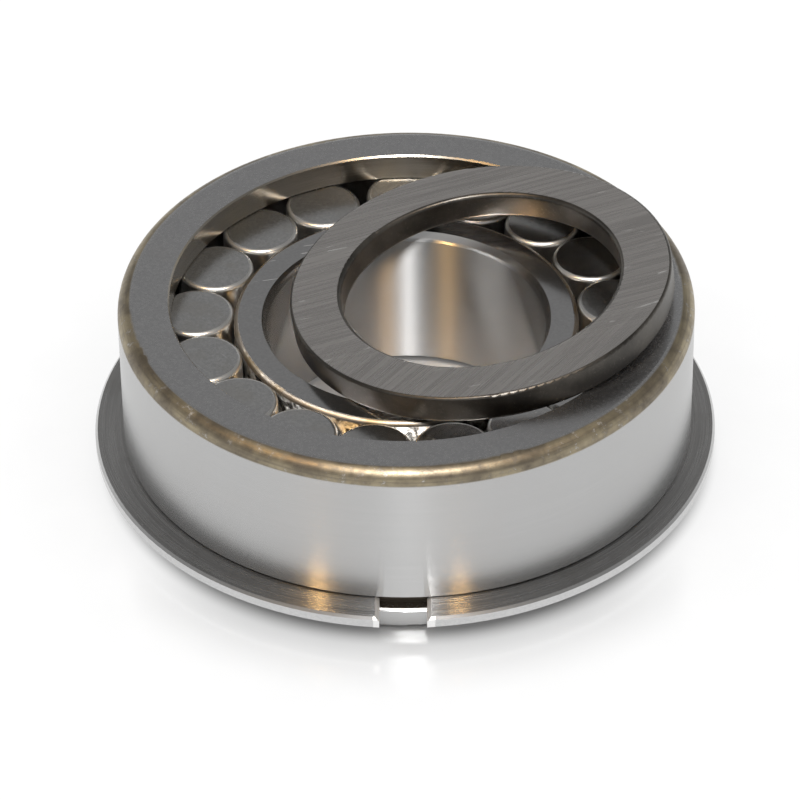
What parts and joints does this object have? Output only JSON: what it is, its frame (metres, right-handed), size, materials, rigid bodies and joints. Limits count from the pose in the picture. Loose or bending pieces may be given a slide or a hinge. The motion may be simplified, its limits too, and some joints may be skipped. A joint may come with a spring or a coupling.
{
  "type": "cylindrical roller bearing",
  "caption": "Cageless cylindrical roller bearing: ribbed outer ring with snap ring, ribbed inner ring, and a loose rib ring lying tipped across the open side.",
  "frame": {"origin": "centre of the bottom face of the outer and inner rings, on the bearing axis", "axes": "+Z along the bearing axis, towards the side with the large rounded corner; the snap ring's gap is towards -Y and the loose rib ring lies towards +X"},
  "size_m": [0.0786, 0.0785, 0.0292],
  "materials": {
    "ring_steel": "ground",
    "rib_steel": "ground across, scratched",
    "spring_steel": "satin",
    "roller_steel": "satin ends"
  },
  "bodies": {
    "outer_ring": {"outer_ring": "ring_steel"},
    "inner_ring": {"inner_ring": "ring_steel"},
    "rib_ring": {"rib_ring": "rib_steel"},
    "snap_ring": {"snap_ring": "spring_steel"},
    "roller_01": {"roller_01": "roller_steel"},
    "roller_02": {"roller_02": "roller_steel"},
    "roller_03": {"roller_03": "roller_steel"},
    "roller_04": {"roller_04": "roller_steel"},
    "roller_05": {"roller_05": "roller_steel"},
    "roller_06": {"roller_06": "roller_steel"},
    "roller_07": {"roller_07": "roller_steel"},
    "roller_08": {"roller_08": "roller_steel"},
    "roller_09": {"roller_09": "roller_steel"},
    "roller_10": {"roller_10": "roller_steel"},
    "roller_11": {"roller_11": "roller_steel"},
    "roller_12": {"roller_12": "roller_steel"},
    "roller_13": {"roller_13": "roller_steel"},
    "roller_14": {"roller_14": "roller_steel"},
    "roller_15": {"roller_15": "roller_steel"},
    "roller_16": {"roller_16": "roller_steel"},
    "roller_17": {"roller_17": "roller_steel"}
  },
  "joints": [
    {"name": "inner_ring_spin", "type": "hinge", "parent": "outer_ring", "child": "inner_ring", "pos_m": [0, 0, 0.012], "axis": [0, 0, 1], "continuous": true},
    {"name": "rib_ring_lift", "type": "slide", "parent": "outer_ring", "child": "rib_ring", "axis": [0, 0, 1], "range_m": [0, 0.04]},
    {"name": "snap_ring_turn", "type": "hinge", "parent": "outer_ring", "child": "snap_ring", "pos_m": [0, 0, 0.00368], "axis": [0, 0, 1], "continuous": true},
    {"name": "roller_set_orbit", "type": "hinge", "parent": "outer_ring", "child": "roller_01", "pos_m": [0, 0, 0.012], "axis": [0, 0, 1], "continuous": true},
    {"name": "roller_02_spin", "type": "hinge", "parent": "roller_01", "child": "roller_02", "pos_m": [-0.01855, 0.01878, 0.012], "axis": [0, 0, 1], "continuous": true},
    {"name": "roller_03_spin", "type": "hinge", "parent": "roller_01", "child": "roller_03", "pos_m": [-0.02406, 0.01086, 0.012], "axis": [0, 0, 1], "continuous": true},
    {"name": "roller_04_spin", "type": "hinge", "parent": "roller_01", "child": "roller_04", "pos_m": [-0.02636, 0.0015, 0.012], "axis": [0, 0, 1], "continuous": true},
    {"name": "roller_05_spin", "type": "hinge", "parent": "roller_01", "child": "roller_05", "pos_m": [-0.02514, -0.00807, 0.012], "axis": [0, 0, 1], "continuous": true},
    {"name": "roller_06_spin", "type": "hinge", "parent": "roller_01", "child": "roller_06", "pos_m": [-0.02056, -0.01656, 0.012], "axis": [0, 0, 1], "continuous": true},
    {"name": "roller_07_spin", "type": "hinge", "parent": "roller_01", "child": "roller_07", "pos_m": [-0.01324, -0.02284, 0.012], "axis": [0, 0, 1], "continuous": true},
    {"name": "roller_08_spin", "type": "hinge", "parent": "roller_01", "child": "roller_08", "pos_m": [-0.00415, -0.02607, 0.012], "axis": [0, 0, 1], "continuous": true},
    {"name": "roller_09_spin", "type": "hinge", "parent": "roller_01", "child": "roller_09", "pos_m": [0.00549, -0.02582, 0.012], "axis": [0, 0, 1], "continuous": true},
    {"name": "roller_10_spin", "type": "hinge", "parent": "roller_01", "child": "roller_10", "pos_m": [0.0144, -0.02213, 0.012], "axis": [0, 0, 1], "continuous": true},
    {"name": "roller_11_spin", "type": "hinge", "parent": "roller_01", "child": "roller_11", "pos_m": [0.02139, -0.01548, 0.012], "axis": [0, 0, 1], "continuous": true},
    {"name": "roller_12_spin", "type": "hinge", "parent": "roller_01", "child": "roller_12", "pos_m": [0.02552, -0.00677, 0.012], "axis": [0, 0, 1], "continuous": true},
    {"name": "roller_13_spin", "type": "hinge", "parent": "roller_01", "child": "roller_13", "pos_m": [0.02625, 0.00285, 0.012], "axis": [0, 0, 1], "continuous": true},
    {"name": "roller_14_spin", "type": "hinge", "parent": "roller_01", "child": "roller_14", "pos_m": [0.02347, 0.01209, 0.012], "axis": [0, 0, 1], "continuous": true},
    {"name": "roller_15_spin", "type": "hinge", "parent": "roller_01", "child": "roller_15", "pos_m": [0.01756, 0.01971, 0.012], "axis": [0, 0, 1], "continuous": true},
    {"name": "roller_16_spin", "type": "hinge", "parent": "roller_01", "child": "roller_16", "pos_m": [0.00931, 0.0247, 0.012], "axis": [0, 0, 1], "continuous": true},
    {"name": "roller_17_spin", "type": "hinge", "parent": "roller_01", "child": "roller_17", "pos_m": [-0.00018, 0.0264, 0.012], "axis": [0, 0, 1], "continuous": true}
  ],
  "couplings": [
    {"joint": "roller_set_orbit", "follows": "inner_ring_spin", "ratio": 0.40909},
    {"joint": "roller_02_spin", "follows": "inner_ring_spin", "ratio": -2.6591},
    {"joint": "roller_03_spin", "follows": "inner_ring_spin", "ratio": -2.6591},
    {"joint": "roller_04_spin", "follows": "inner_ring_spin", "ratio": -2.6591},
    {"joint": "roller_05_spin", "follows": "inner_ring_spin", "ratio": -2.6591},
    {"joint": "roller_06_spin", "follows": "inner_ring_spin", "ratio": -2.6591},
    {"joint": "roller_07_spin", "follows": "inner_ring_spin", "ratio": -2.6591},
    {"joint": "roller_08_spin", "follows": "inner_ring_spin", "ratio": -2.6591},
    {"joint": "roller_09_spin", "follows": "inner_ring_spin", "ratio": -2.6591},
    {"joint": "roller_10_spin", "follows": "inner_ring_spin", "ratio": -2.6591},
    {"joint": "roller_11_spin", "follows": "inner_ring_spin", "ratio": -2.6591},
    {"joint": "roller_12_spin", "follows": "inner_ring_spin", "ratio": -2.6591},
    {"joint": "roller_13_spin", "follows": "inner_ring_spin", "ratio": -2.6591},
    {"joint": "roller_14_spin", "follows": "inner_ring_spin", "ratio": -2.6591},
    {"joint": "roller_15_spin", "follows": "inner_ring_spin", "ratio": -2.6591},
    {"joint": "roller_16_spin", "follows": "inner_ring_spin", "ratio": -2.6591},
    {"joint": "roller_17_spin", "follows": "inner_ring_spin", "ratio": -2.6591}
  ]
}
